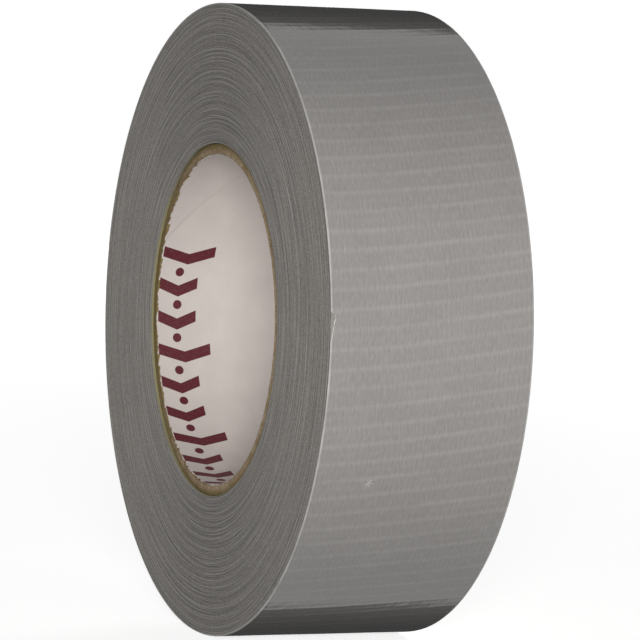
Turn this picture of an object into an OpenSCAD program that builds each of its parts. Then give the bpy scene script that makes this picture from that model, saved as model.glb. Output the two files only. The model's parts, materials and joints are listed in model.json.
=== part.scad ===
// A full roll of cloth-backed duct tape, standing on its rim.
// The tape is wound on a spiral-wound board core, and the last of the tape can be peeled up.
// The roll's axis is Y and its bore's centre is the origin. Angles are measured from +X up to +Z.

/* [Core] */
// Bore of the board core (a standard 3 inch core)
core_bore_d = 76.2; // [50:0.1:80]
// Thickness of one board ply
ply_t = 0.52; // [0.4:0.01:0.7]
// Thickness of the paper liner and of the paper wrap
paper_t = 0.2; // [0.12:0.01:0.3]
// How far each end of the core lies inside the tape's edge
core_recess = 0.9; // [0.1:0.1:1.5]
// Axial length in which a wound strip goes once round
strip_lead = 144; // [120:1:240]
// Gap between the two edges of a wound strip
strip_gap = 0.4; // [0.3:0.05:0.8]

/* [Tape] */
// Width of the tape
tape_w = 48; // [24:0.5:72]
// Length of tape on the roll, in metres
tape_length_m = 54.86; // [20:0.01:60]
// Thickness of the polyethylene film on the outside
film_t = 0.08; // [0.06:0.01:0.12]
// Thickness of the cloth in the middle
scrim_t = 0.06; // [0.05:0.01:0.1]
// Thickness of the adhesive on the inside
adhesive_t = 0.07; // [0.05:0.01:0.12]

/* [Free end] */
// Angle at which the tape ends
tip_angle = 170; // [100:1:260]
// Arc of the end that peels up
free_arc = 25; // [10:1:60]
// Air under the free end and at its crease
free_gap = 0.05; // [0.03:0.01:0.1]

/* [Hidden] */

// Core
bore_r = core_bore_d / 2;
core_len = tape_w - 2 * core_recess;
ply_r = bore_r + paper_t;
wrap_r = ply_r + 4 * ply_t;
core_r = wrap_r + paper_t;
strip_twist = 360 * core_len / strip_lead;
seam_slices = 24;
// Where the liner's seam meets the front end of the core, and how far each next seam is turned on
seam_angle = 155;
seam_stagger = 75;
// How far a cutting shape runs past what it cuts
overshoot = 1;

// Tape
tape_t = adhesive_t + scrim_t + film_t;
roll_r = sqrt(pow(core_r, 2) + 1000 * tape_length_m * tape_t / PI);
// A wound turn is four quarter arcs, each about its own corner of a square of this side
spiral_step = tape_t / 4;
// Radii of the layers where the last turn starts
pack_r = roll_r - tape_t - 1.5 * spiral_step;
scrim_r = pack_r + adhesive_t;
film_r = scrim_r + scrim_t;

// Free end, in the last quarter of the last turn
crease_gap_deg = free_gap / roll_r * 180 / PI;
hinge_deg = 90 - free_arc;

board_colour = [0.62, 0.50, 0.37];
liner_colour = [0.80, 0.76, 0.72];
film_colour = [0.62, 0.61, 0.59];
side_colour = [0.45, 0.44, 0.42];
scrim_colour = [0.86, 0.86, 0.84];
adhesive_colour = [0.72, 0.70, 0.66];

// Centre of quarter k of the spiral, k from 0 to 3
function quarter_centre(k) =
    let (h = spiral_step / 2)
    [k < 2 ? -h : h, k == 0 || k == 3 ? h : -h, 0];

// Lays what is drawn about +Z on the roll's own axis, with the front face at -Y
module on_roll_axis() {
    rotate([90, 0, 0])
        children();
}

// Turns the spiral so that its step lies at the tape's end
module at_tip() {
    on_roll_axis()
        rotate([0, 0, tip_angle])
            children();
}

module tube(r_in, r_out, length) {
    difference() {
        cylinder(r = r_out, h = length, center = true, $fn = 180);
        cylinder(r = r_in, h = length + 2 * overshoot, center = true, $fn = 180);
    }
}

// The gap between a wound strip's edges, from one end of the core to the other
module seam_cutter(r, t) {
    linear_extrude(height = core_len + 2 * overshoot, center = true, slices = seam_slices,
                   twist = -strip_twist * (1 + 2 * overshoot / core_len))
        translate([r - overshoot / 2, -strip_gap / 2])
            square([t + overshoot, strip_gap]);
}

// One strip of the core, wound in a spiral with its edges almost meeting
module wound_strip(layer, r_in, t) {
    on_roll_axis()
        difference() {
            tube(r_in, r_in + t, core_len);
            rotate([0, 0, seam_angle - strip_twist / 2 + layer * seam_stagger])
                seam_cutter(r_in, t);
        }
}

// Part of quarter k between two radii, from angle a0 to angle a1 within the quarter
module quarter_band(k, r_in, t, a0 = 0, a1 = 90) {
    translate(quarter_centre(k))
        rotate([0, 0, 90 * k + a0])
            rotate_extrude(angle = a1 - a0, $fn = 240)
                translate([r_in + k * spiral_step, -tape_w / 2])
                    square([t, tape_w]);
}

// A layer of the last turn, from its start to the crease of the free end
module outer_layer(r_in, t) {
    at_tip()
        union() {
            for (k = [0:2])
                quarter_band(k, r_in, t);
            quarter_band(3, r_in, t, 0, hinge_deg - crease_gap_deg);
        }
}

// A layer of the free end, from its crease to the tape's end
module free_layer(r_in, t) {
    at_tip()
        quarter_band(3, r_in + free_gap, t, hinge_deg, 90);
}

module core_liner() {
    color(liner_colour)
        wound_strip(0, bore_r, paper_t);
}

module core_ply(n) {
    color(board_colour)
        wound_strip(n, ply_r + (n - 1) * ply_t, ply_t);
}

module core_wrap() {
    color(board_colour)
        wound_strip(5, wrap_r, paper_t);
}

// Every turn but the last, wound solid
module tape_pack() {
    color(side_colour)
        at_tip()
            difference() {
                union() {
                    for (k = [0:3])
                        quarter_band(k, core_r / 2, pack_r - core_r / 2);
                }
                cylinder(r = core_r, h = tape_w + 2 * overshoot, center = true, $fn = 180);
            }
}

module outer_turn_adhesive() {
    color(adhesive_colour)
        outer_layer(pack_r, adhesive_t);
}

module outer_turn_scrim() {
    color(scrim_colour)
        outer_layer(scrim_r, scrim_t);
}

module outer_turn_film() {
    color(film_colour)
        outer_layer(film_r, film_t);
}

module free_end_adhesive() {
    color(adhesive_colour)
        free_layer(pack_r, adhesive_t);
}

module free_end_scrim() {
    color(scrim_colour)
        free_layer(scrim_r, scrim_t);
}

module free_end_film() {
    color(film_colour)
        free_layer(film_r, film_t);
}

core_liner();
core_ply(1);  // core_ply_1
core_ply(2);  // core_ply_2
core_ply(3);  // core_ply_3
core_ply(4);  // core_ply_4
core_wrap();
tape_pack();
outer_turn_adhesive();
outer_turn_scrim();
outer_turn_film();
free_end_adhesive();
free_end_scrim();
free_end_film();
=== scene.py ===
"""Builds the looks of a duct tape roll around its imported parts: the wound pack, the last turn and
the free end of the tape, the spiral-wound core, small damage, and a plain studio."""

import json
import math
import random

import bmesh
import bpy
from mathutils import Matrix, Vector, noise


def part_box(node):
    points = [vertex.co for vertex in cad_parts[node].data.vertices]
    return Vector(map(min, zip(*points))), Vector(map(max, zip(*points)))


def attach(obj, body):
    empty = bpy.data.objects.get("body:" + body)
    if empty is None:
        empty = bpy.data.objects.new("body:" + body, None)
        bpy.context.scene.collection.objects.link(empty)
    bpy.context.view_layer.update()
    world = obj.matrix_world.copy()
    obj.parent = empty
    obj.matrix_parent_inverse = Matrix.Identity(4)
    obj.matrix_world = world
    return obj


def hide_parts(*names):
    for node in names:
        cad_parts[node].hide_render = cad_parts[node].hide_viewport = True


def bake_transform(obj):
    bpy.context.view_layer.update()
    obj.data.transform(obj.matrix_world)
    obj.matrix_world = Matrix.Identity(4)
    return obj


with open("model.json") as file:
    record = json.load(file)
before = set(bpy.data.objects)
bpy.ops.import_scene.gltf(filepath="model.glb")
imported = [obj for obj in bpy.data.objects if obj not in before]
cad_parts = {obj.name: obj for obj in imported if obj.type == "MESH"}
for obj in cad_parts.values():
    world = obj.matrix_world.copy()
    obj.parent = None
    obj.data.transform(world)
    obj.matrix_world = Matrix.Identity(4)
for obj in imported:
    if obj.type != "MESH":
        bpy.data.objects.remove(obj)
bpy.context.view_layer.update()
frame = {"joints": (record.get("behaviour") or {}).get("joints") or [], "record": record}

bl_info = {
    "name": "Duct Tape Roll",
    "version": (1, 0, 0),
    "blender": (4, 5, 0),
    "location": "3D View > Sidebar > Tape Roll",
    "description": "Builds the looks of a duct tape roll around its packed parts",
    "category": "Object",
}

MM = 0.001
TURN = 2 * math.pi

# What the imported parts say
MOUNTS = {m["name"]: m for m in frame["record"]["mounts"]}
PEEL = next(j for j in frame["joints"] if j["name"] == "free_end_peel")
ROLL_LOW, ROLL_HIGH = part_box("outer_turn_film")
FREE_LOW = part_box("free_end_film")[0]
HALF_W = ROLL_HIGH.y
ROLL_R = (ROLL_HIGH.z - ROLL_LOW.z) / 2
FLOOR_Z = ROLL_LOW.z
BORE_R = MOUNTS["core_bore"]["dims"]["r_mm"] * MM
CORE_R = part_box("core_wrap")[1].x
CORE_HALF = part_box("core_liner")[1].y
HINGE = Vector(PEEL["pos_m"])
HINGE_ANGLE = math.atan2(HINGE.z, HINGE.x)
TIP_ANGLE = math.pi - math.asin(FREE_LOW.z / ROLL_R)

# Where the free end's own pieces start, as an angle before the hinge
SEAM_BEFORE_HINGE = math.radians(6.0)
# Added along a strip's own map, so that it is above 0 from end to end
MAP_START = 0.1


# ---------------------------------------------------------------- what a user would change


def length_prop(name, description, default):
    return bpy.props.FloatProperty(
        name=name, description=description, default=default, subtype="DISTANCE", unit="LENGTH", precision=5
    )


def angle_prop(name, description, degrees):
    return bpy.props.FloatProperty(
        name=name, description=description, default=math.radians(degrees), subtype="ANGLE", unit="ROTATION"
    )


def colour_prop(name, description, default):
    return bpy.props.FloatVectorProperty(
        name=name, description=description, default=default, subtype="COLOR", size=3, min=0.0, max=1.0
    )


class TapeSizes(bpy.types.PropertyGroup):
    film_t: length_prop("Film", "Thickness of the outer film", 0.08 * MM)
    scrim_t: length_prop("Scrim", "Thickness of the cloth", 0.06 * MM)
    adhesive_t: length_prop("Adhesive", "Thickness of the adhesive", 0.07 * MM)
    warp_pitch: length_prop("Warp pitch", "Spacing of the yarns that run round the roll", 1.2 * MM)
    warp_height: length_prop("Warp height", "How far a warp yarn lifts the film", 0.040 * MM)
    weft_pitch: length_prop("Weft pitch", "Spacing of the bands that cross the tape", 4.3 * MM)
    weft_height: length_prop("Weft height", "How far a weft band lifts the film", 0.034 * MM)
    weft_slant: length_prop("Weft slant", "How far a weft band drifts across the tape", 5.4 * MM)
    swell: length_prop("Swell", "Height of the slow waves in the wound film", 0.03 * MM)
    edge_ridge: length_prop("Edge ridge", "Height of one turn's edge on the sides", 0.04 * MM)
    crease: length_prop("Crease", "Length over which the free end bends", 4.5 * MM)


class CoreSizes(bpy.types.PropertyGroup):
    ply_t: length_prop("Ply", "Thickness of a board ply", 0.52 * MM)
    paper_t: length_prop("Paper", "Thickness of the liner and of the wrap", 0.2 * MM)
    lead: length_prop("Lead", "Axial length in which a strip goes once round", 144 * MM)
    gap: length_prop("Gap", "Gap between the edges of a strip", 0.15 * MM)
    lap: length_prop("Lap", "How far round from the seam the liner's hidden edge shows", 16 * MM)
    seam: angle_prop("Seam", "Where the liner's seam meets the front end", 155)
    stagger: angle_prop("Stagger", "How far each next seam is turned on", 75)
    fray: length_prop("Fray", "How far the liner's cut edge is torn back", 0.8 * MM)


class RollColours(bpy.types.PropertyGroup):
    film: colour_prop("Film", "Silver-grey film", (0.292, 0.276, 0.264))
    film_light: colour_prop("Film over a yarn", "Film where a yarn lifts it", (0.385, 0.366, 0.350))
    # The rim colour is partly the knife's whitening, partly a painted highlight along the film's edges
    rim: colour_prop("Rim", "Cut edge of the film, whitened by the knife", (0.64, 0.63, 0.605))
    wound: colour_prop("Wound edge", "Edges of the turns", (0.44, 0.415, 0.387))
    wound_dark: colour_prop("Wound edge in the gaps", "Between the turns", (0.12, 0.113, 0.103))
    first_turn: colour_prop("First turn", "Adhesive squeezed out beside the core", (0.27, 0.245, 0.13))
    adhesive: colour_prop("Adhesive", "Pale grey adhesive", (0.38, 0.365, 0.33))
    scrim: colour_prop("Scrim", "Cotton yarn", (0.72, 0.71, 0.67))
    board: colour_prop("Board", "Chipboard", (0.52, 0.40, 0.27))
    board_dark: colour_prop("Dark board", "Chipboard in its deepest flecks", (0.24, 0.17, 0.085))
    # Dark colour of the outer plies, also used as painted shade on the ring's left side
    board_outer_and_painted_shade: colour_prop("Outer board", "Chipboard of the outer plies", (0.17, 0.125, 0.04))
    liner: colour_prop("Liner", "Liner paper", (0.565, 0.510, 0.480))
    seam: colour_prop("Seam", "Grey line along the liner's seam", (0.33, 0.30, 0.27))
    print_ink: colour_prop("Print", "Ink on the liner", (0.082, 0.009, 0.015))
    floor: colour_prop("Floor", "Studio floor", (0.86, 0.86, 0.86))


def settings():
    scene = bpy.context.scene
    return scene.tape_sizes, scene.tape_core, scene.tape_colours


# ---------------------------------------------------------------- modelling


def tape_thickness():
    sizes, _, _ = settings()
    return sizes.film_t + sizes.scrim_t + sizes.adhesive_t


def drift(a, b=0.0, c=0.0):
    """Smooth noise from -1 to 1."""
    return noise.noise(Vector((a, b, c)))


def bump(distance, width):
    """1 on the line, falling smoothly to 0 beside it."""
    return math.exp(-((distance / width) ** 2))


def sheet(length, width, along, across):
    """A flat sheet with its face up: X runs along it from 0, Y across it."""
    bm = bmesh.new()
    bmesh.ops.create_grid(bm, x_segments=along, y_segments=across, size=0.5)
    bmesh.ops.scale(bm, vec=(length, width, 1.0), verts=bm.verts)
    bmesh.ops.translate(bm, vec=(length / 2, 0.0, 0.0), verts=bm.verts)
    return bm


def row_number(v, width, rows):
    """Which of a sheet's evenly spaced rows a vertex is in."""
    return round((v.co.y / width + 0.5) * (len(rows) - 1))


def space_rows(bm, rows, width):
    """Moves the evenly spaced rows of a sheet to the places across it in rows."""
    for v in bm.verts:
        v.co.y = rows[row_number(v, width, rows)]


def add_strip_uv(bm, start):
    """A UV map in metres, along the tape and across it, that stays with the tape when it bends."""
    uv = bm.loops.layers.uv.new("strip")
    for face in bm.faces:
        for loop in face.loops:
            loop[uv].uv = (loop.vert.co.x + (start + MAP_START), loop.vert.co.y + HALF_W)


def add_tread_uv(bm):
    """The same kind of map for small pieces that lie on the film."""
    uv = bm.loops.layers.uv.new("strip")
    for face in bm.faces:
        for loop in face.loops:
            spot = loop.vert.co
            loop[uv].uv = (math.atan2(spot.z, spot.x) * ROLL_R, spot.y)


def open_edges(bm):
    return [e for e in bm.edges if e.is_boundary]


def close_sheet(bm, thickness):
    """Gives a sheet its long edges, a plain back and its two ends."""
    long_edges = [e for e in open_edges(bm) if abs(e.verts[0].co.x - e.verts[1].co.x) > 0.01 * MM]
    grown = bmesh.ops.extrude_edge_only(bm, edges=long_edges)["geom"]
    back = {g for g in grown if isinstance(g, bmesh.types.BMVert)}
    for v in back:
        v.co.z = -thickness
    bmesh.ops.bridge_loops(bm, edges=[e for e in open_edges(bm) if back.issuperset(e.verts)])
    bmesh.ops.holes_fill(bm, edges=open_edges(bm), sides=0)


def outer_radius(x, tape_t):
    """Radius of the film's outside, x metres along the last turn from where that turn starts."""
    return ROLL_R - tape_t / 2 + tape_t * x / (TURN * ROLL_R)


def wind_tape(bm, start, tape_t):
    """Winds a flat strip onto the roll. Its X is counted from start, and its Z is height above the film."""
    for v in bm.verts:
        x = v.co.x + start
        angle = TIP_ANGLE + x / ROLL_R
        radius = outer_radius(x, tape_t) + v.co.z
        v.co = Vector((radius * math.cos(angle), v.co.y, radius * math.sin(angle)))


def wind_core_strip(bm, radius, start):
    """Winds a flat strip from an angle into a spiral tube, so that its seam climbs towards the front."""
    _, core, _ = settings()
    lead = core.lead
    for v in bm.verts:
        turned = start + v.co.x / radius - TURN * v.co.y / lead
        r = radius + v.co.z
        v.co = Vector((r * math.cos(turned), v.co.y, r * math.sin(turned)))


def add_piece(name, bm, finish, body, replaced=(), crease_angle=50):
    """Turns a finished bmesh into a piece that rides on a body, if it has one."""
    bmesh.ops.recalc_face_normals(bm, faces=bm.faces)
    for face in bm.faces:
        face.smooth = True
    mesh = bpy.data.meshes.new(name)
    bm.to_mesh(mesh)
    bm.free()
    mesh.set_sharp_from_angle(angle=math.radians(crease_angle))
    mesh.materials.append(bpy.data.materials.get(finish) or FINISHES[finish]())
    piece = bpy.data.objects.new(name, mesh)
    bpy.context.scene.collection.objects.link(piece)
    if body:
        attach(piece, body)
    if replaced:
        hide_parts(*replaced)
    return piece


# ---------------------------------------------------------------- relief of the film


def weft_band(x, y, sizes):
    """How much a crossing yarn lifts the film there, from 0 to 1."""
    across = max(y / (2 * HALF_W) + 0.5, 0.0)
    slant = sizes.weft_slant * (1 + 0.12 * drift(x / 0.05, 0.0, 5.5)) * across**1.4
    wander = 0.05 * drift(x / 0.011, y / 0.017, 3.1) + 0.02 * drift(x / 0.003, y / 0.004, 9.1)
    wander *= sizes.weft_pitch
    phase = (x - slant - wander) / sizes.weft_pitch
    line = math.floor(phase + 0.5)
    phase -= 0.06 * drift(line * 3.3, 0.0, 2.0)
    strength = 0.80 + 0.5 * drift(line * 7.31, y / 0.012, 1.7)
    between = math.floor(phase) + 0.5
    weaker = 0.10 + 0.45 * drift(between * 5.17, y / 0.009, 8.2)
    off = phase - line
    band = max(strength, 0.1) * bump(off, 0.09 if off > 0 else 0.14)
    return min(band + max(weaker, 0.0) * bump(phase - between, 0.09), 1.1)


def film_rows(sizes):
    """Places across the tape: one row on each yarn and one between, and a rounded edge on both sides."""
    half_pitch = sizes.warp_pitch / 2
    count = round(HALF_W / half_pitch) - 1
    edge = [HALF_W, HALF_W - 0.07 * MM, HALF_W - 0.17 * MM, HALF_W - 0.32 * MM]
    inside = [j * half_pitch for j in range(-count, count + 1)]
    return [-y for y in edge] + inside + edge[::-1]


FILM_BACK = 0.1 * MM
# How much lower the rows nearest an edge lie, from the edge inwards
EDGE_DROP = (-0.075 * MM, -0.032 * MM, -0.008 * MM, 0.004 * MM)


def film_sheet(start, length, sizes, along):
    """The film's own sheet, with the cloth showing through it."""
    rows = film_rows(sizes)
    last = len(rows) - 1
    bm = sheet(length, 2 * HALF_W, along, last)
    lift = bm.verts.layers.float.new("lift")
    for v in bm.verts:
        row = row_number(v, 2 * HALF_W, rows)
        v.co.y = rows[row]
        x, y = v.co.x + start, v.co.y
        band = weft_band(x, y, sizes)
        on_yarn = 1 if row % 2 else -1
        grip = 0.70 + 1.0 * drift(x / 0.0024, row * 3.7, 0.4)
        warp = 0.5 * sizes.warp_height * on_yarn * grip
        slow = sizes.swell * drift(x / 0.021, y / 0.015, 6.0)
        from_edge = min(row, last - row)
        inside = min(from_edge / 5, 1.0)
        z = inside * (warp + slow) + (0.3 + 0.7 * inside) * sizes.weft_height * band
        if from_edge < len(EDGE_DROP):
            z += EDGE_DROP[from_edge]
            worn = 0.6 * drift(x / 0.009, y * 300, 2.6) + 0.5 * drift(x / 0.0016, y * 300, 4.6)
            v.co.y += math.copysign(0.035 * MM, y) * worn
        v.co.z = z
        v[lift] = band
    return bm


# ---------------------------------------------------------------- materials


class Nodes:
    """Adds and links nodes in one tree."""

    def __init__(self, tree):
        self.tree = tree

    def add(self, kind, inputs=None, **values):
        node = self.tree.nodes.new(kind)
        for key, value in values.items():
            setattr(node, key, value)
        for key, value in (inputs or {}).items():
            socket = node.inputs[key]
            if isinstance(value, bpy.types.NodeSocket):
                self.tree.links.new(value, socket)
            else:
                socket.default_value = value
        return node

    def math(self, operation, a, b=0.0, c=0.0, clamp=False):
        inputs = {0: a, 1: b, 2: c}
        return self.add("ShaderNodeMath", inputs, operation=operation, use_clamp=clamp).outputs[0]

    def spread(self, value, low, high, to_low=0.0, to_high=1.0, smooth=False):
        kind = "SMOOTHSTEP" if smooth else "LINEAR"
        inputs = {"Value": value, "From Min": low, "From Max": high, "To Min": to_low, "To Max": to_high}
        return self.add("ShaderNodeMapRange", inputs, interpolation_type=kind).outputs["Result"]

    def mix(self, factor, a, b):
        """A mix of two colours, through the node's sockets for colours."""
        inputs = {0: factor, 6: a, 7: b}
        return self.add("ShaderNodeMix", inputs, data_type="RGBA", clamp_factor=True).outputs[2]

    def noise(self, vector, scale, detail, roughness=0.5):
        inputs = {"Vector": vector, "Scale": scale, "Detail": detail, "Roughness": roughness}
        return self.add("ShaderNodeTexNoise", inputs).outputs["Fac"]

    def vector(self, x, y, z):
        return self.add("ShaderNodeCombineXYZ", {0: x, 1: y, 2: z}).outputs[0]

    def bump(self, height, strength, distance):
        inputs = {"Height": height, "Strength": strength, "Distance": distance}
        return self.add("ShaderNodeBump", inputs).outputs["Normal"]

    def length(self, vector):
        return self.add("ShaderNodeVectorMath", {0: vector}, operation="LENGTH").outputs["Value"]

    def place(self):
        """The point on the piece, in the roll's own frame."""
        return self.add("ShaderNodeTexCoord").outputs["Object"]

    def strip(self):
        """The point on the strip's own map, in metres along it and across it."""
        return self.add("ShaderNodeUVMap", uv_map="strip").outputs[0]

    def lift(self):
        return self.add("ShaderNodeAttribute", attribute_name="lift").outputs["Fac"]

    def parts(self, vector):
        return self.add("ShaderNodeSeparateXYZ", {0: vector}).outputs


def rgba(colour):
    return (*colour, 1.0)


def new_group(name, takes, gives):
    """An empty shader node group. takes holds each input's default, or None for a vector."""
    group = bpy.data.node_groups.new(name, "ShaderNodeTree")
    for label, default in takes.items():
        kind = "NodeSocketVector" if default is None else "NodeSocketFloat"
        socket = group.interface.new_socket(label, in_out="INPUT", socket_type=kind)
        if default is not None:
            socket.default_value = default
    for label in gives:
        group.interface.new_socket(label, in_out="OUTPUT", socket_type="NodeSocketFloat")
    nodes = Nodes(group)
    start = nodes.add("NodeGroupInput")
    end = nodes.add("NodeGroupOutput")
    return group, nodes, start.outputs, end.inputs


def place_group(nodes, group, inputs=None):
    return nodes.add("ShaderNodeGroup", inputs, node_tree=group).outputs


def round_place_group():
    """Where a point lies on the roll: its radius, its direction as a unit vector's two parts, its angle."""
    gives = ("Radius", "Across", "Cosine", "Sine", "Angle")
    group, nodes, _, out = new_group("Round place", {}, gives)
    parts = nodes.parts(nodes.place())
    radius = nodes.length(nodes.vector(parts[0], 0.0, parts[2]))
    link = nodes.tree.links.new
    link(radius, out["Radius"])
    link(parts[1], out["Across"])
    link(nodes.math("DIVIDE", parts[0], radius), out["Cosine"])
    link(nodes.math("DIVIDE", parts[2], radius), out["Sine"])
    link(nodes.math("ARCTAN2", parts[2], parts[0]), out["Angle"])
    return group


def grain_group():
    """Fine grain and slow blotches, both about 0.5, from any coordinates."""
    takes = {"Vector": None, "Grain size": 0.3 * MM, "Blotch size": 10 * MM}
    group, nodes, given, out = new_group("Grain", takes, ("Grain", "Blotch"))
    fine = nodes.math("DIVIDE", 1.0, given["Grain size"])
    slow = nodes.math("DIVIDE", 1.0, given["Blotch size"])
    link = nodes.tree.links.new
    link(nodes.noise(given["Vector"], fine, 3.0, 0.6), out["Grain"])
    link(nodes.noise(given["Vector"], slow, 2.0, 0.5), out["Blotch"])
    return group


def cloth_group(sizes):
    """The cloth's yarns on the strip's own map: how high each warp and weft yarn stands, and its fibres."""
    takes = {"Warp pitch": sizes.warp_pitch, "Weft pitch": sizes.weft_pitch, "Wander": 0.5, "Lean": 0.18}
    group, nodes, given, out = new_group("Cloth", takes, ("Warp", "Weft", "Fibres"))
    strip = nodes.strip()
    parts = nodes.parts(strip)
    weft_turn = nodes.math("DIVIDE", parts[0], given["Weft pitch"])
    in_cell = nodes.math("SUBTRACT", nodes.math("PINGPONG", weft_turn, 0.5), 0.25)
    leaning = nodes.spread(nodes.noise(strip, 55.0, 0.0), 0.4, 0.6)
    lean = nodes.math("MULTIPLY", nodes.math("MULTIPLY", in_cell, given["Weft pitch"]), given["Lean"])
    across = nodes.math("MULTIPLY_ADD", lean, leaning, parts[1])
    stretched = nodes.vector(nodes.math("MULTIPLY", parts[0], 0.22), across, 0.0)
    sway = nodes.math("SUBTRACT", nodes.noise(stretched, 420.0, 1.0), 0.5)
    sway = nodes.math("MULTIPLY", sway, given["Wander"])
    warp_phase = nodes.math("ADD", nodes.math("DIVIDE", across, given["Warp pitch"]), sway)
    weft_phase = nodes.math("ADD", weft_turn, sway)
    warp = nodes.math("COSINE", nodes.math("MULTIPLY", warp_phase, TURN))
    weft = nodes.math("COSINE", nodes.math("MULTIPLY", weft_phase, 2 * TURN))
    link = nodes.tree.links.new
    link(nodes.math("MULTIPLY_ADD", warp, 0.5, 0.5), out["Warp"])
    link(nodes.math("MULTIPLY_ADD", weft, 0.5, 0.5), out["Weft"])
    link(nodes.noise(stretched, 2300.0, 2.0, 0.6), out["Fibres"])
    return group


def print_group():
    """A frieze of solid chevrons and dots, every third one tall, beside the liner's front edge."""
    takes = {"Angle": 0.0, "Across": 0.0, "Wobble": 0.5}
    group, nodes, given, out = new_group("Printed frieze", takes, ("Ink",))
    cell_angle = math.radians(12)
    cells, printed_cells = 15.0, 10.0
    start = math.radians(157)
    low, short, tall = -CORE_HALF + 0.4 * MM, 9.6 * MM, 13.2 * MM
    dot_r = 1.05 * MM
    cell_length = cell_angle * BORE_R
    count = nodes.math("DIVIDE", nodes.math("SUBTRACT", given["Angle"], start), cell_angle)
    count = nodes.math("WRAP", count, cells, 0.0)
    cell = nodes.math("FRACT", count)
    third = nodes.math("LESS_THAN", nodes.math("WRAP", count, 3.0, 0.0), 1.0)
    height = nodes.math("MULTIPLY_ADD", third, tall - short, short)
    up = nodes.math("DIVIDE", nodes.math("SUBTRACT", given["Across"], low), height)
    off_middle = nodes.math("ABSOLUTE", nodes.math("SUBTRACT", up, 0.5))
    bent = nodes.math("MULTIPLY_ADD", off_middle, 0.5, cell)
    from_bar = nodes.math("ABSOLUTE", nodes.math("SUBTRACT", bent, 0.42))
    bar = nodes.spread(from_bar, 0.165, 0.175, 1.0, 0.0)
    inside = nodes.spread(off_middle, 0.497, 0.503, 1.0, 0.0)
    chevron = nodes.math("MULTIPLY", bar, inside)
    dot_along = nodes.math("MULTIPLY", nodes.math("SUBTRACT", cell, 0.83), cell_length)
    dot_up = nodes.math("SUBTRACT", given["Across"], low + short / 2)
    away = nodes.length(nodes.vector(dot_along, dot_up, 0.0))
    dot = nodes.spread(away, dot_r, dot_r + 0.08 * MM, 1.0, 0.0)
    shape = nodes.math("MAXIMUM", chevron, dot)
    printed = nodes.math("LESS_THAN", count, printed_cells)
    ink = nodes.math("MULTIPLY", shape, printed)
    worn = nodes.spread(given["Wobble"], 0.25, 0.45, 0.86, 1.0)
    nodes.tree.links.new(nodes.math("MULTIPLY", ink, worn), out["Ink"])
    return group


def shared(name, make, *args):
    """A node group that several materials use, made once."""
    return bpy.data.node_groups.get(name) or make(*args)


def place_grain(nodes, vector, grain_mm, blotch_mm):
    inputs = {"Vector": vector, "Grain size": grain_mm * MM, "Blotch size": blotch_mm * MM}
    return place_group(nodes, shared("Grain", grain_group), inputs)


def new_material(name, roughness, specular=0.5):
    """A material with one Principled shader. The constants go on its own sockets."""
    material = bpy.data.materials.new(name)
    material.use_nodes = True
    shader = material.node_tree.nodes["Principled BSDF"]
    shader.inputs["Roughness"].default_value = roughness
    shader.inputs["Specular IOR Level"].default_value = specular
    return material, Nodes(material.node_tree), shader


def wire(nodes, shader, colour=None, roughness=None, normal=None):
    link = nodes.tree.links.new
    if colour is not None:
        link(colour, shader.inputs["Base Color"])
    if roughness is not None:
        link(roughness, shader.inputs["Roughness"])
    if normal is not None:
        link(normal, shader.inputs["Normal"])


def film_material():
    """Satin silver-grey film, lighter where a yarn lifts it, with fine streaks along the tape, painted
    shade where it is seen edge-on, and whitened edges that are partly a painted highlight.
    """
    sizes, _, colours = settings()
    material, nodes, shader = new_material("Film", 0.25)
    cloth = place_group(nodes, shared("Cloth", cloth_group, sizes))
    strip = nodes.strip()
    grain = place_grain(nodes, strip, 0.4, 12)
    lift = nodes.lift()
    streak = nodes.spread(cloth["Fibres"], 0.3, 0.7, -0.34, 0.34)
    light = nodes.math("MULTIPLY_ADD", lift, 0.5, 0.2)
    light = nodes.math("MULTIPLY_ADD", cloth["Warp"], 0.12, light)
    light = nodes.math("ADD", light, streak)
    light = nodes.math("MULTIPLY_ADD", nodes.math("SUBTRACT", grain["Blotch"], 0.5), 0.5, light, clamp=True)
    colour = nodes.mix(light, rgba(colours.film), rgba(colours.film_light))
    # Painted shade: the film's colour is darkened towards black where the film is seen at a grazing angle,
    # towards the roll's outline
    facing = nodes.math("SUBTRACT", 1.0, nodes.add("ShaderNodeLayerWeight").outputs["Facing"])
    depth = nodes.math("MULTIPLY", nodes.math("POWER", facing, 0.6), 1.06)
    colour = nodes.mix(depth, (0.0, 0.0, 0.0, 1.0), colour)
    from_middle = nodes.math("ABSOLUTE", nodes.math("SUBTRACT", nodes.parts(strip)[1], HALF_W))
    from_edge = nodes.math("SUBTRACT", HALF_W, from_middle)
    # Partly the knife's whitening of the cut edge, partly a painted highlight: both edges of the film are
    # lightened towards the rim colour
    white = nodes.spread(from_edge, 0.12 * MM, 0.50 * MM, 1.0, 0.0, smooth=True)
    patchy = nodes.spread(grain["Blotch"], 0.35, 0.65, 0.25, 0.7)
    colour = nodes.mix(nodes.math("MULTIPLY", white, patchy), colour, rgba(colours.rim))
    rough = nodes.spread(grain["Grain"], 0.3, 0.7, 0.11, 0.16)
    rough = nodes.math("MULTIPLY_ADD", white, 0.4, rough)
    height = nodes.math("MULTIPLY_ADD", cloth["Warp"], 0.5, nodes.math("MULTIPLY", cloth["Fibres"], 0.6))
    height = nodes.math("MULTIPLY_ADD", grain["Grain"], 0.25, height)
    wire(nodes, shader, colour, rough, nodes.bump(height, 0.35, 0.02 * MM))
    return material


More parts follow.
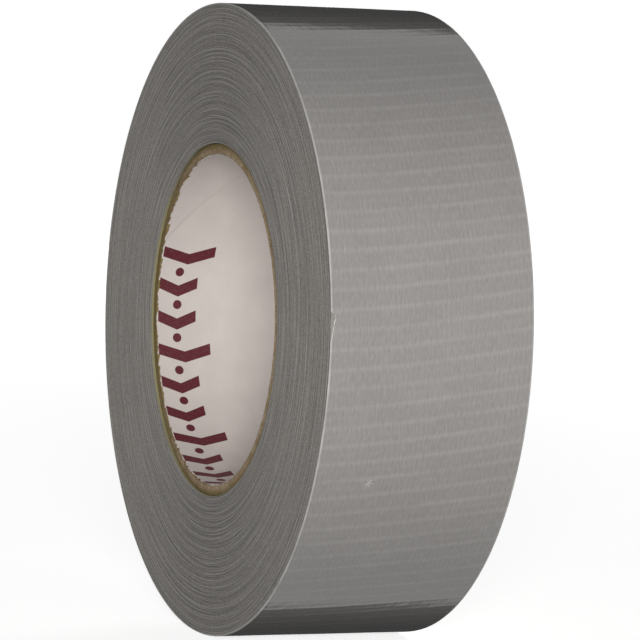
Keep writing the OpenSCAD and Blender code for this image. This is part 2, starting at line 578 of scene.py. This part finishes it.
def wound_edge_material():
    """The edges of the turns: satin grey, each turn a little lighter or darker, pale beside the core."""
    _, _, colours = settings()
    material, nodes, shader = new_material("Wound edge", 0.5, 0.2)
    place = place_group(nodes, shared("Round place", round_place_group))
    turn = nodes.math("DIVIDE", place["Radius"], tape_thickness())

    def streaks(per_turn, round_scale, detail, shift=0.0):
        vector = nodes.vector(
            nodes.math("MULTIPLY_ADD", turn, per_turn, shift),
            nodes.math("MULTIPLY", place["Cosine"], round_scale),
            nodes.math("MULTIPLY", place["Sine"], round_scale),
        )
        return nodes.noise(vector, 1.0, detail, 0.6)

    # The difference of two places leaves each turn's own shade and takes out the slow waves
    fine = nodes.math("SUBTRACT", streaks(1.1, 2.6, 1.0), streaks(1.1, 2.6, 1.0, 0.7))
    fine = nodes.spread(fine, -0.24, 0.24)
    few_turns = nodes.math("SUBTRACT", streaks(0.32, 1.7, 1.0), streaks(0.32, 1.7, 1.0, 0.8))
    few_turns = nodes.spread(few_turns, -0.24, 0.24)
    wide = nodes.spread(streaks(0.09, 0.9, 1.0), 0.3, 0.7)
    grain = place_grain(nodes, nodes.place(), 0.35, 8)
    light = nodes.math("MULTIPLY_ADD", fine, 0.9, nodes.math("MULTIPLY", wide, 0.06))
    light = nodes.math("MULTIPLY_ADD", few_turns, 0.34, light)
    light = nodes.math("MULTIPLY_ADD", nodes.spread(grain["Grain"], 0.3, 0.7), 0.5, light)
    lift = nodes.lift()
    light = nodes.math("MULTIPLY_ADD", lift, 0.15, light)
    light = nodes.math("SUBTRACT", light, 0.59, clamp=True)
    colour = nodes.mix(light, rgba(colours.wound_dark), rgba(colours.wound))
    squeezed = nodes.spread(place["Radius"], CORE_R + 0.1 * MM, CORE_R + 0.3 * MM, 0.9, 0.0)
    colour = nodes.mix(squeezed, colour, rgba(colours.first_turn))
    wire(nodes, shader, colour, None, nodes.bump(grain["Grain"], 0.4, 0.03 * MM))
    return material


def adhesive_material():
    """Tacky adhesive with the cloth's grid showing through."""
    sizes, _, colours = settings()
    material, nodes, shader = new_material("Adhesive", 0.4, 0.5)
    cloth = place_group(nodes, shared("Cloth", cloth_group, sizes))
    warp, weft = nodes.spread(cloth["Warp"], 0.55, 0.9), nodes.spread(cloth["Weft"], 0.6, 0.95)
    yarn = nodes.math("MAXIMUM", warp, weft)
    seen = nodes.math("MULTIPLY", yarn, nodes.spread(cloth["Fibres"], 0.3, 0.7, 0.45, 0.8))
    colour = nodes.mix(seen, rgba(colours.adhesive), rgba(colours.scrim))
    height = nodes.math("MULTIPLY_ADD", cloth["Fibres"], 0.4, yarn)
    rough = nodes.spread(cloth["Fibres"], 0.3, 0.7, 0.22, 0.5)
    wire(nodes, shader, colour, rough, nodes.bump(height, 0.5, 0.05 * MM))
    return material


def scrim_material():
    """Cotton yarn."""
    _, _, colours = settings()
    material, nodes, shader = new_material("Scrim", 0.85, 0.2)
    grain = place_grain(nodes, nodes.strip(), 0.1, 2)
    shade = tuple(0.7 * c for c in colours.scrim)
    colour = nodes.mix(grain["Grain"], rgba(shade), rgba(colours.scrim))
    wire(nodes, shader, colour, None, nodes.bump(grain["Grain"], 0.4, 0.02 * MM))
    return material


def board_material():
    """Raw chipboard: brown, flecked, with short fibres, darker towards its outer edge and along its inner
    edge, with painted shade on its left side.
    """
    _, _, colours = settings()
    material, nodes, shader = new_material("Board", 0.9, 0.15)
    grain = place_grain(nodes, nodes.place(), 0.4, 3)
    light = nodes.math("MULTIPLY", nodes.spread(grain["Blotch"], 0.35, 0.65), 0.45)
    light = nodes.math("MULTIPLY_ADD", nodes.spread(grain["Grain"], 0.38, 0.62), 0.65, light, clamp=True)
    colour = nodes.mix(light, rgba(colours.board_dark), rgba(colours.board))
    place = place_group(nodes, shared("Round place", round_place_group))
    off_middle = nodes.math("SUBTRACT", grain["Grain"], 0.5)
    rough_radius = nodes.math("MULTIPLY_ADD", off_middle, 0.8 * MM, place["Radius"])
    outer = nodes.spread(rough_radius, CORE_R - 1.5 * MM, CORE_R - 0.2 * MM, 0.0, 0.85)
    # Painted shade: the ring is darkened on its left side, towards -X, as if shaded there
    painted_left_shade = nodes.spread(place["Cosine"], -0.95, -0.35, 0.85, 0.0)
    bared = nodes.spread(place["Radius"], BORE_R + 0.24 * MM, BORE_R + 0.30 * MM, 0.8, 0.0)
    dark = nodes.math("MAXIMUM", nodes.math("MAXIMUM", outer, painted_left_shade), bared)
    colour = nodes.mix(dark, colour, rgba(colours.board_outer_and_painted_shade))
    wire(nodes, shader, colour, None, nodes.bump(grain["Grain"], 0.8, 0.08 * MM))
    return material


def liner_material():
    """Smooth liner paper with a printed frieze and a faint grey line along its seam."""
    _, _, colours = settings()
    material, nodes, shader = new_material("Liner paper", 0.62, 0.3)
    place = place_group(nodes, shared("Round place", round_place_group))
    grain = place_grain(nodes, nodes.place(), 0.3, 6)
    shade = tuple(0.90 * c for c in colours.liner)
    tone = nodes.math("MULTIPLY_ADD", grain["Grain"], 0.5, nodes.math("MULTIPLY", grain["Blotch"], 0.5))
    paper = nodes.mix(nodes.spread(tone, 0.35, 0.65), rgba(shade), rgba(colours.liner))
    seam_line = nodes.lift()
    paper = nodes.mix(nodes.math("MULTIPLY", seam_line, 0.5), paper, rgba(colours.seam))
    frieze = place_group(
        nodes,
        shared("Printed frieze", print_group),
        {"Angle": place["Angle"], "Across": place["Across"], "Wobble": grain["Grain"]},
    )
    colour = nodes.mix(frieze["Ink"], paper, rgba(colours.print_ink))
    wire(nodes, shader, colour, None, nodes.bump(grain["Grain"], 0.25, 0.02 * MM))
    return material


def floor_material():
    _, _, colours = settings()
    material, _, shader = new_material("Studio floor", 0.9, 0.0)
    shader.inputs["Base Color"].default_value = rgba(colours.floor)
    shader.inputs["Emission Color"].default_value = rgba(colours.floor)
    shader.inputs["Emission Strength"].default_value = 0.85
    return material


# Each finish is made by the first piece that has it
FINISHES = {
    "Film": film_material,
    "Wound edge": wound_edge_material,
    "Adhesive": adhesive_material,
    "Scrim": scrim_material,
    "Board": board_material,
    "Liner paper": liner_material,
}


# ---------------------------------------------------------------- the wound pack


# Radius and depth of the grooves that run round both sides, in mm
GROOVES = ((45.0, 0.10), (46.3, 0.06), (51.0, 0.09), (54.0, 0.08), (61.2, 0.06), (64.3, 0.09), (65.4, 0.05))
GROOVE_HALF_WIDTH = 0.16 * MM


def turn_edge_height(radius, angle, side, tape_t):
    """How far a turn's edge stands out of the side of the roll."""
    turn = (radius - CORE_R) / tape_t
    seed = 11.3 * side
    near_core = bump(radius - CORE_R, 9 * MM)
    cosine, sine = math.cos(angle), math.sin(angle)
    each = 0.008 * MM * drift(turn * 1.9, seed, 0.3)
    each += (0.006 + 0.028 * near_core) * MM * drift(turn * 0.6, 1.6 * cosine, 1.6 * sine + seed)
    slow = 0.03 * MM * drift(turn * 0.055, seed, 2.1)
    lean = 0.05 * MM * drift(2.2 * cosine, 2.2 * sine, turn * 0.02 + seed)
    groove = 0.0
    for mm, depth in GROOVES:
        wave = 0.5 + 0.7 * drift(1.3 * cosine + mm, 1.3 * sine, seed)
        groove += 0.7 * depth * MM * max(wave, 0.0) * bump(radius - mm * MM, GROOVE_HALF_WIDTH)
    sunk = 0.52 * MM * math.exp(-(radius - CORE_R) / (3 * MM))
    return each + slow + lean - groove - sunk


def wound_pack():
    """Every turn but the last: one spiral, its turns' edges standing out as fine ridges on both sides."""
    sizes, _, _ = settings()
    tape_t = tape_thickness()
    first_x = (HINGE_ANGLE - SEAM_BEFORE_HINGE - TIP_ANGLE) * ROLL_R
    start_angle = TIP_ANGLE + first_x / ROLL_R
    outside = outer_radius(first_x, tape_t) - tape_t
    turns = round((outside - CORE_R) / tape_t)
    steps = 144
    bm = bmesh.new()
    corners = [
        bm.verts.new((r, y, 0.0))
        for r, y in ((CORE_R, -HALF_W), (outside, -HALF_W), (outside, HALF_W), (CORE_R, HALF_W))
    ]
    sides = [bm.edges.new((corners[i], corners[(i + 1) % 4])) for i in range(4)]
    bmesh.ops.subdivide_edges(bm, edges=[sides[0], sides[2]], cuts=2 * turns - 1)
    bmesh.ops.rotate(bm, verts=bm.verts, cent=(0, 0, 0), matrix=Matrix.Rotation(-start_angle, 3, "Y"))
    edges = list(bm.edges)
    for step in range(steps):
        angle = start_angle + (step + 1) * TURN / steps
        grow = Vector((math.cos(angle), 0.0, math.sin(angle))) * tape_t / steps
        made = bmesh.ops.spin(
            bm, geom=edges, cent=(0, 0, 0), axis=(0, -1, 0), dvec=grow, angle=TURN / steps, steps=1,
            use_merge=False, use_normal_flip=False, use_duplicate=False,
        )
        edges = [g for g in made["geom_last"] if isinstance(g, bmesh.types.BMEdge)]
    bmesh.ops.remove_doubles(bm, verts=bm.verts, dist=0.01 * MM)
    bmesh.ops.holes_fill(bm, edges=open_edges(bm), sides=0)
    lift = bm.verts.layers.float.new("lift")
    for v in bm.verts:
        angle = math.atan2(v.co.z, v.co.x)
        radius = math.hypot(v.co.x, v.co.z)
        side = -1 if v.co.y < 0 else 1
        along = ((angle - start_angle) % TURN) / TURN
        row = round(2 * ((radius - CORE_R) / tape_t - along))
        ridge = 1.0 if row % 2 else 0.0
        height = turn_edge_height(radius, angle, side, tape_t)
        height += sizes.edge_ridge * ridge * (0.9 + 0.2 * drift(radius / tape_t * 2.3, side, 5.0))
        v.co.y += side * (height - sizes.edge_ridge)
        v[lift] = ridge
    add_piece("wound_pack", bm, "Wound edge", "roll", ["tape_pack"], 12)


# ---------------------------------------------------------------- the last turn and the free end


def seam_x():
    """Where the free end's own pieces start, metres along the last turn."""
    return (TURN - (TIP_ANGLE - HINGE_ANGLE) - SEAM_BEFORE_HINGE) * ROLL_R


def dent_rim(bm, start):
    """A notch torn in the front edge: a sharp step at its upper end, running out below."""
    top_x = (TURN - TIP_ANGLE + math.radians(5.5)) * ROLL_R
    length, depth, reach = 6.2 * MM, 1.0 * MM, 2.6 * MM
    for v in bm.verts:
        below = (top_x - (v.co.x + start)) / length
        from_edge = v.co.y + HALF_W
        if -0.05 < below < 1.0 and from_edge < reach:
            step = min((below + 0.05) / 0.08, 1.0) * (1 - max(below, 0.0)) ** 0.9
            v.co.y += depth * step * (1 - max(from_edge, 0.0) / reach)


def outer_turn_film():
    sizes, _, _ = settings()
    tape_t = tape_thickness()
    end = seam_x()
    start = end - TURN * ROLL_R
    bm = film_sheet(start, TURN * ROLL_R, sizes, 1100)
    dent_rim(bm, start)
    close_sheet(bm, FILM_BACK)
    add_strip_uv(bm, start)
    wind_tape(bm, start, tape_t)
    add_piece("last_turn_film", bm, "Film", "roll", ["outer_turn_film"])


def plain_layer(start, length, top, thickness, inset, along, across):
    """A layer under the film: top is how far its upper side lies below the film's outside."""
    width = 2 * (HALF_W - inset)
    bm = sheet(length, width, along, across)
    for v in bm.verts:
        if abs(v.co.y) > width / 2 - 1e-7:
            side = math.copysign(3.0, v.co.y)
            v.co.y += 0.05 * MM * drift((v.co.x + start) / 0.0011, side, top / MM * 40)
    bmesh.ops.solidify(bm, geom=bm.faces[:], thickness=thickness)
    top_z = max(v.co.z for v in bm.verts)
    bmesh.ops.translate(bm, vec=(0, 0, -top - top_z), verts=bm.verts)
    return bm


def outer_turn_under_layers():
    """The last turn's cloth and adhesive, which show as thin lines on the sides of the roll."""
    sizes, _, _ = settings()
    tape_t = tape_thickness()
    end = seam_x()
    start = end - TURN * ROLL_R
    layers = (
        ("scrim", "Scrim", sizes.film_t, sizes.scrim_t, 0.03 * MM),
        ("adhesive", "Adhesive", sizes.film_t + sizes.scrim_t, sizes.adhesive_t, 0.01 * MM),
    )
    for layer, finish, top, thickness, inset in layers:
        bm = plain_layer(start, TURN * ROLL_R, top, thickness, inset, 900, 24)
        dent_rim(bm, start)
        add_strip_uv(bm, start)
        wind_tape(bm, start, tape_t)
        add_piece(f"last_turn_{layer}", bm, finish, "roll", [f"outer_turn_{layer}"])


def cut_tip(bm, length, size, seed):
    """Makes the cut end of a strip slightly uneven."""
    for v in bm.verts:
        share = max(0.0, 1.0 - (length - v.co.x) / (1.5 * MM))
        v.co.x += share * size * drift(v.co.y / 0.0017, seed, 0.0)


def add_loose_piece(layer, finish, bm):
    """A layer of the free end, wound onto the roll from just before the hinge to its cut tip."""
    piece = add_piece(f"loose_end_{layer}", bm, finish, None, [f"free_end_{layer}"])
    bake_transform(piece)


def free_end_film():
    sizes, _, _ = settings()
    tape_t = tape_thickness()
    start = seam_x()
    length = TURN * ROLL_R - start
    bm = film_sheet(start, length, sizes, 90)
    close_sheet(bm, FILM_BACK)
    cut_tip(bm, length, 0.12 * MM, 1.0)
    add_strip_uv(bm, start)
    wind_tape(bm, start, tape_t)
    add_loose_piece("film", "Film", bm)


def free_end_adhesive():
    """The adhesive under the free end, pressed into ridges over the yarns."""
    sizes, _, _ = settings()
    tape_t = tape_thickness()
    start = seam_x()
    length = TURN * ROLL_R - start
    bm = plain_layer(start, length, sizes.film_t + sizes.scrim_t, sizes.adhesive_t, 0.02 * MM, 90, 80)
    lowest = min(v.co.z for v in bm.verts)
    for v in bm.verts:
        if v.co.z < lowest + 1e-8:
            v.co.z += 0.012 * MM * (1 + math.cos(TURN * v.co.y / sizes.warp_pitch))
    cut_tip(bm, length, 0.15 * MM, 4.0)
    add_strip_uv(bm, start)
    wind_tape(bm, start, tape_t)
    add_loose_piece("adhesive", "Adhesive", bm)


def add_thread(bm, points, radius, sides):
    """A thin thread through a few points, closed at both ends, made of extruded rings."""
    ring = bmesh.ops.create_circle(bm, cap_ends=True, segments=sides, radius=radius)["verts"]
    heading = (points[1] - points[0]).normalized()
    turn = Vector((0, 0, 1)).rotation_difference(heading).to_matrix()
    bmesh.ops.rotate(bm, verts=ring, cent=(0, 0, 0), matrix=turn)
    bmesh.ops.translate(bm, vec=points[0], verts=ring)
    cap = next(f for f in ring[0].link_faces if len(f.verts) == sides)
    for before, after in zip(points, points[1:]):
        grown = bmesh.ops.extrude_face_region(bm, geom=[cap])["geom"]
        new = [g for g in grown if isinstance(g, bmesh.types.BMVert)]
        cap = next(g for g in grown if isinstance(g, bmesh.types.BMFace))
        bmesh.ops.translate(bm, vec=after - before, verts=new)


def free_end_scrim():
    """The free end's cloth, yarn by yarn, a few of them frayed past the cut."""
    sizes, _, _ = settings()
    tape_t = tape_thickness()
    rng = random.Random(4)
    start = seam_x()
    length = TURN * ROLL_R - start
    middle = -(sizes.film_t + sizes.scrim_t / 2)
    bm = bmesh.new()
    yarns = int(2 * HALF_W / sizes.warp_pitch)
    for j in range(yarns):
        y = (j - (yarns - 1) / 2) * sizes.warp_pitch
        past = rng.uniform(0.1, 0.5) * MM
        points = [Vector((length * k / 24, y, middle)) for k in range(25)]
        points.append(Vector((length + past, y + rng.uniform(-0.15, 0.15) * MM, middle)))
        add_thread(bm, points, 0.028 * MM, 4)
    x = sizes.weft_pitch / 4
    while x < length - 0.3 * MM:
        points = [Vector((x, y * HALF_W / 8, middle)) for y in range(-8, 9)]
        add_thread(bm, points, 0.024 * MM, 4)
        x += sizes.weft_pitch / 2
    add_strip_uv(bm, start)
    wind_tape(bm, start, tape_t)
    add_loose_piece("scrim", "Scrim", bm)


# ---------------------------------------------------------------- the core


def end_rows(count):
    """Places across a core strip, closer together at both cut ends."""
    near = [CORE_HALF, CORE_HALF - 0.12 * MM, CORE_HALF - 0.35 * MM, CORE_HALF - 0.8 * MM]
    inner = near[-1]
    inside = [inner * (2 * k / count - 1) for k in range(1, count)]
    return [-y for y in near] + inside + near[::-1]


def core_strip(layer, radius, around, count):
    """One strip of the core, still flat, and the angle that it is wound from."""
    _, core, _ = settings()
    rows = end_rows(count)
    bm = sheet(TURN * radius - core.gap, 2 * CORE_HALF, around, len(rows) - 1)
    space_rows(bm, rows, 2 * CORE_HALF)
    seam = core.seam + layer * core.stagger - TURN * CORE_HALF / core.lead
    return bm, seam + core.gap / 2 / radius


FRAY_REACH = 2.0 * MM


def core_liner():
    """The liner: its front and back edges torn back here and there, its seam lapped."""
    _, core, _ = settings()
    bm, start = core_strip(0, BORE_R, 720, 40)
    length = TURN * BORE_R - core.gap
    lift = bm.verts.layers.float.new("lift")
    for v in bm.verts:
        x, y = v.co.x, v.co.y
        from_lap = x - (length - core.lap)
        lapped = bump(from_lap, 0.5 * MM)
        step = 0.5 * (1 + math.tanh(from_lap / (0.3 * MM)))
        v.co.z = -0.04 * MM * step - 0.02 * MM * lapped + 0.03 * MM * drift(x / 0.02, y / 0.02, 9.0)
        v[lift] = 0.3 * lapped + 0.65 * bump(min(x, length - x), 0.22 * MM)
        from_edge = CORE_HALF - abs(y)
        if from_edge < FRAY_REACH:
            side = math.copysign(1.0, y)
            torn = drift(x / 0.0045, side * 5.0, 2.0) + 0.9 * drift(x / 0.0013, side * 5.0, 4.0)
            torn += 0.7 * drift(x / 0.0007, side * 5.0, 8.0)
            torn = core.fray * min(max(0.8 * torn + 0.3, 0.0), 1.1)
            v.co.y -= side * torn * (1 - from_edge / FRAY_REACH)
            v.co.z += 0.05 * MM * drift(x / 0.0013, side, 7.0) * bump(from_edge, 0.2 * MM)
    bmesh.ops.solidify(bm, geom=bm.faces[:], thickness=-core.paper_t)
    wind_core_strip(bm, BORE_R, start)
    add_piece("liner_strip", bm, "Liner paper", "roll", ["core_liner"])


def core_board(layer, node, radius, thickness):
    """A ply of the core with a rough, sawn edge at each end."""
    bm, start = core_strip(layer, radius, 480, 20)
    middle = CORE_HALF - 0.03 * (radius + thickness / 2 - BORE_R)
    for v in bm.verts:
        v.co.y *= middle / CORE_HALF
    for v in bm.verts:
        if abs(v.co.y) > middle - 0.05 * MM:
            side = math.copysign(1.0, v.co.y)
            v.co.y += side * 0.06 * MM * drift(v.co.x / 0.0009, side * 3.0, layer * 2.3)
    bmesh.ops.solidify(bm, geom=bm.faces[:], thickness=-thickness)
    for v in bm.verts:
        if v.co.z > thickness / 2 and abs(v.co.y) > middle - 0.08 * MM:
            side = math.copysign(1.0, v.co.y)
            v.co.y += side * (0.08 * MM * drift(v.co.x / 0.0008, side * 4.0, layer * 5.1) - 0.05 * MM)
    wind_core_strip(bm, radius, start)
    add_piece(f"board_strip_{layer}", bm, "Board", "roll", [node])


def core_boards():
    _, core, _ = settings()
    for n in range(1, 5):
        core_board(n, f"core_ply_{n}", BORE_R + core.paper_t + (n - 1) * core.ply_t, core.ply_t)
    core_board(5, "core_wrap", CORE_R - core.paper_t, core.paper_t)


def core_fuzz():
    """Short paper fibres raised by the saw along both ends of the core."""
    rng = random.Random(21)
    bm = bmesh.new()
    for side in (-1, 1):
        for _ in range(260):
            angle = rng.uniform(0, TURN)
            radius = BORE_R + rng.choice((0.0, 0.1, 0.25, 0.8, 1.4)) * MM + rng.uniform(-0.05, 0.15) * MM
            out = Vector((math.cos(angle), 0, math.sin(angle)))
            round_ = Vector((-math.sin(angle), 0, math.cos(angle)))
            foot = out * radius + Vector((0, side * (CORE_HALF - 0.1 * MM), 0))
            lean = round_ * rng.uniform(-1, 1) + out * rng.uniform(-0.9, 0.3)
            size = rng.uniform(0.15, 0.5) * MM
            mid = foot + Vector((0, side * 0.12 * MM, 0)) + lean * size * 0.5
            tip = mid + lean * size * 0.6 + Vector((0, side * rng.uniform(-0.1, 0.1) * MM, 0))
            add_thread(bm, [foot, mid, tip], rng.uniform(0.012, 0.03) * MM, 3)
    add_piece("core_fuzz", bm, "Board", "roll")


# ---------------------------------------------------------------- small damage


def on_tread(degrees, y, height):
    """A point on the film at an angle up from +X, at a height above it."""
    angle = math.radians(degrees)
    x = ((angle - TIP_ANGLE) % TURN) * ROLL_R
    radius = outer_radius(x, tape_thickness()) + height
    return Vector((radius * math.cos(angle), y, radius * math.sin(angle)))


def rim_threads():
    """Loose threads of the cloth at the nick in the front rim."""
    bm = bmesh.new()
    # Degrees up from +X, mm in from the front edge and mm above the film
    runs = (
        ((5.7, 0.10, 0.0), (5.6, 0.50, 0.10), (5.2, 0.85, 0.12),
         (4.0, 0.72, 0.06), (2.4, 0.45, 0.04), (1.0, 0.25, 0.0)),
        ((5.5, 0.70, 0.02), (5.6, 1.00, 0.14), (5.5, 1.30, 0.14), (5.9, 1.45, 0.06)),
        ((2.6, 0.55, 0.02), (1.9, 0.80, 0.10), (1.2, 0.62, 0.08), (0.9, 0.40, 0.02)),
    )
    for run in runs:
        points = [on_tread(angle, off * MM - HALF_W, height * MM) for angle, off, height in run]
        add_thread(bm, points, 0.038 * MM, 5)
    add_tread_uv(bm)
    add_piece("rim_threads", bm, "Scrim", "roll")


def puncture():
    """A small star where something pricked the film, its flaps curled up and whitened."""
    rng = random.Random(8)
    bm = bmesh.new()
    centre_angle, centre_y = -24.5, -11.2 * MM
    for k in range(6):
        turn = k * TURN / 6 + rng.uniform(-0.3, 0.3)
        reach = rng.uniform(0.65, 1.3) * MM
        points = []
        for share, height in ((0.15, 0.02), (0.55, 0.12), (1.0, 0.03)):
            across = reach * share * math.cos(turn)
            along = reach * share * math.sin(turn)
            angle = centre_angle + math.degrees(along / ROLL_R)
            points.append(on_tread(angle, centre_y + across, height * MM))
        add_thread(bm, points, 0.08 * MM, 4)
    add_tread_uv(bm)
    add_piece("puncture", bm, "Scrim", "roll")


# ---------------------------------------------------------------- studio


CAMERA_AZIMUTH = math.radians(67.68)
CAMERA_ELEVATION = math.radians(4.0)
CAMERA_ROLL = math.radians(2.16)
CAMERA_DISTANCE = 0.90585
CAMERA_LENS = 218.55
CAMERA_SHIFT = (0.0222, 0.0008)
# The middle of the dark that gloss sees behind the roll
DARK_ELEVATION = math.radians(7.1)


def direction(azimuth, elevation):
    """From the roll towards a viewer: azimuth 0 is in front, at -Y, and 90 degrees is at +X."""
    flat = math.cos(elevation)
    return Vector((math.sin(azimuth) * flat, -math.cos(azimuth) * flat, math.sin(elevation)))


def add_camera():
    data = bpy.data.cameras.new("camera")
    data.lens = CAMERA_LENS
    data.sensor_width = 36.0
    data.shift_x, data.shift_y = CAMERA_SHIFT
    data.clip_start = 0.01
    camera = bpy.data.objects.new("camera", data)
    back = direction(CAMERA_AZIMUTH, CAMERA_ELEVATION)
    right = Vector((0, 0, 1)).cross(back).normalized()
    up = back.cross(right)
    c, s = math.cos(CAMERA_ROLL), math.sin(CAMERA_ROLL)
    right, up = right * c + up * s, up * c - right * s
    turned = Matrix((right, up, back)).transposed().to_4x4()
    camera.matrix_world = Matrix.Translation(back * CAMERA_DISTANCE) @ turned
    bpy.context.scene.collection.objects.link(camera)
    bpy.context.scene.camera = camera


def add_softbox(name, azimuth, elevation, distance, size, power, glossy):
    data = bpy.data.lights.new(name, "AREA")
    data.shape = "DISK"
    data.size = size
    data.energy = power
    light = bpy.data.objects.new(name, data)
    place = direction(math.radians(azimuth), math.radians(elevation)) * distance
    light.location = place
    light.rotation_euler = place.to_track_quat("Z", "Y").to_euler()
    light.visible_glossy = glossy
    bpy.context.scene.collection.objects.link(light)


def add_world():
    """Soft light from all round. In gloss the studio is white, but dark behind the roll."""
    world = bpy.data.worlds.new("Studio")
    world.use_nodes = True
    bpy.context.scene.world = world
    nodes = Nodes(world.node_tree)
    background = world.node_tree.nodes["Background"]
    path = nodes.add("ShaderNodeLightPath").outputs
    looking = nodes.add("ShaderNodeTexCoord").outputs["Generated"]
    behind = -direction(CAMERA_AZIMUTH, DARK_ELEVATION)
    facing = nodes.add(
        "ShaderNodeVectorMath", {0: looking, 1: tuple(behind)}, operation="DOT_PRODUCT"
    ).outputs["Value"]
    gloss = nodes.spread(facing, 0.690, 0.709, 0.9, 0.065)
    level = nodes.math("MULTIPLY", path["Is Glossy Ray"], gloss)
    level = nodes.math("MULTIPLY_ADD", path["Is Diffuse Ray"], 0.10, level)
    level = nodes.math("MULTIPLY_ADD", path["Is Camera Ray"], 1.0, level)
    nodes.tree.links.new(level, background.inputs["Strength"])
    background.inputs["Color"].default_value = (1.0, 1.0, 1.0, 1.0)


def add_floor():
    """A pale floor that curves up into a wall all round."""
    bm = bmesh.new()
    flat, curve, top = 1.2, 0.6, 1.6
    middle = bm.verts.new((0.0, 0.0, FLOOR_Z))
    edge = bm.verts.new((flat, 0.0, FLOOR_Z))
    bm.edges.new((middle, edge))
    arc = bmesh.ops.spin(
        bm, geom=[edge], cent=(flat, 0.0, FLOOR_Z + curve), axis=(0, -1, 0), angle=math.pi / 2, steps=16,
        use_merge=False,
    )
    end = next(g for g in arc["geom_last"] if isinstance(g, bmesh.types.BMVert))
    high = bm.verts.new((end.co.x, 0.0, FLOOR_Z + top))
    bm.edges.new((end, high))
    bmesh.ops.spin(
        bm, geom=bm.verts[:] + bm.edges[:], cent=(0, 0, 0), axis=(0, 0, 1), angle=TURN, steps=96,
        use_merge=True,
    )
    bmesh.ops.remove_doubles(bm, verts=bm.verts, dist=1e-5)
    for face in bm.faces:
        face.smooth = True
    mesh = bpy.data.meshes.new("studio_floor")
    bm.to_mesh(mesh)
    bm.free()
    mesh.materials.append(floor_material())
    floor = bpy.data.objects.new("studio_floor", mesh)
    bpy.context.scene.collection.objects.link(floor)
    floor.visible_glossy = False
    floor.visible_diffuse = False
    floor.visible_shadow = False


# ---------------------------------------------------------------- operators


class TAPE_OT_stage(bpy.types.Operator):
    """Add the camera, the soft lights and the pale floor"""

    bl_idname = "tape_roll.stage"
    bl_label = "Studio"

    def execute(self, context):
        context.scene.view_settings.view_transform = "Standard"
        add_camera()
        add_world()
        add_floor()
        add_softbox("key", 68, 5, 2.2, 0.7, 42.0, True)
        add_softbox("back_fill", 235, 5, 2.2, 1.4, 30.0, False)
        add_softbox("bore_fill", 180, -25, 0.065, 0.06, 0.026, False)
        return {"FINISHED"}


class TAPE_OT_wound_pack(bpy.types.Operator):
    """Wind every turn of the tape but the last"""

    bl_idname = "tape_roll.wound_pack"
    bl_label = "Wound pack"

    def execute(self, context):
        wound_pack()
        return {"FINISHED"}


class TAPE_OT_outer_turn(bpy.types.Operator):
    """Wind the last turn: film, cloth and adhesive"""

    bl_idname = "tape_roll.outer_turn"
    bl_label = "Last turn"

    def execute(self, context):
        outer_turn_film()
        outer_turn_under_layers()
        return {"FINISHED"}


class TAPE_OT_free_end(bpy.types.Operator):
    """Add the free end: its film, cloth and adhesive"""

    bl_idname = "tape_roll.free_end"
    bl_label = "Free end"

    def execute(self, context):
        free_end_film()
        free_end_scrim()
        free_end_adhesive()
        return {"FINISHED"}


class TAPE_OT_core(bpy.types.Operator):
    """Wind the core from its liner, its board plies and its wrap"""

    bl_idname = "tape_roll.core"
    bl_label = "Core"

    def execute(self, context):
        core_liner()
        core_boards()
        core_fuzz()
        return {"FINISHED"}


class TAPE_OT_damage(bpy.types.Operator):
    """Add the small marks: loose threads at the rim and a puncture"""

    bl_idname = "tape_roll.damage"
    bl_label = "Small marks"

    def execute(self, context):
        rim_threads()
        puncture()
        return {"FINISHED"}


OPERATORS = (
    TAPE_OT_stage,
    TAPE_OT_wound_pack,
    TAPE_OT_outer_turn,
    TAPE_OT_free_end,
    TAPE_OT_core,
    TAPE_OT_damage,
)


class TAPE_PT_panel(bpy.types.Panel):
    bl_idname = "TAPE_PT_panel"
    bl_label = "Duct tape roll"
    bl_space_type = "VIEW_3D"
    bl_region_type = "UI"
    bl_category = "Tape Roll"

    def draw(self, context):
        for operator in OPERATORS:
            self.layout.operator(operator.bl_idname)
        for group in settings():
            box = self.layout.box()
            for name in group.__annotations__:
                box.prop(group, name)


CLASSES = (TapeSizes, CoreSizes, RollColours, *OPERATORS, TAPE_PT_panel)


def register():
    for cls in CLASSES:
        bpy.utils.register_class(cls)
    bpy.types.Scene.tape_sizes = bpy.props.PointerProperty(type=TapeSizes)
    bpy.types.Scene.tape_core = bpy.props.PointerProperty(type=CoreSizes)
    bpy.types.Scene.tape_colours = bpy.props.PointerProperty(type=RollColours)


def unregister():
    del bpy.types.Scene.tape_colours
    del bpy.types.Scene.tape_core
    del bpy.types.Scene.tape_sizes
    for cls in reversed(CLASSES):
        bpy.utils.unregister_class(cls)


def main():
    register()
    bpy.ops.tape_roll.stage()
    bpy.ops.tape_roll.wound_pack()
    bpy.ops.tape_roll.outer_turn()
    bpy.ops.tape_roll.free_end()
    bpy.ops.tape_roll.core()
    bpy.ops.tape_roll.damage()


if __name__ == "__main__":
    main()
